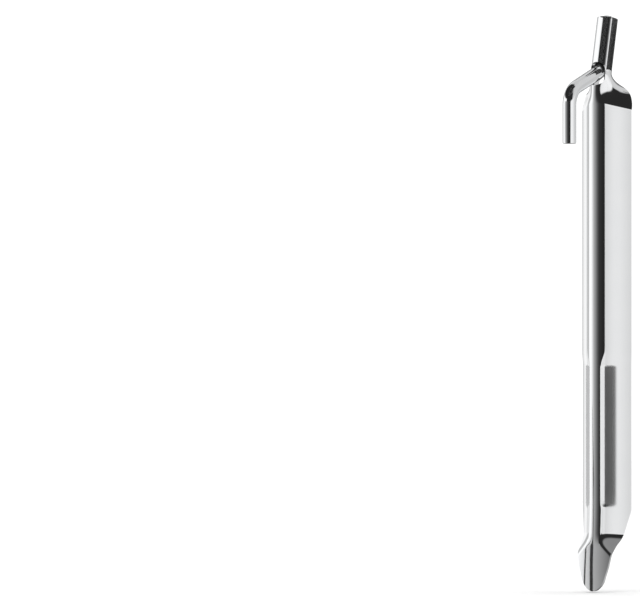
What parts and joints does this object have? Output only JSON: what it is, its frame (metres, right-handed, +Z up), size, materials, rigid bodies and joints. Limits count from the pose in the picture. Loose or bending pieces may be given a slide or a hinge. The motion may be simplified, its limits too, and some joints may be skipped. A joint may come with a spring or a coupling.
{
  "type": "tent stake",
  "caption": "V-section ground stake pressed from sheet steel, with a spoon point and a bent bar hook held in its rolled neck.",
  "frame": {"origin": "level with the point, on the centre line of the ridge's bend", "axes": "+Z up the stake from its point, -Y to the front where the ridge and the hook face, X = 0 is the plane of symmetry"},
  "size_m": [0.026, 0.0369, 0.2502],
  "materials": {
    "plated_sheet": "bright plated, mirror gloss",
    "plated_bar": "bright plated, mirror gloss, fine drawing lines"
  },
  "bodies": {
    "root": {"blade": "plated_sheet", "hook": "plated_bar"}
  },
  "joints": []
}
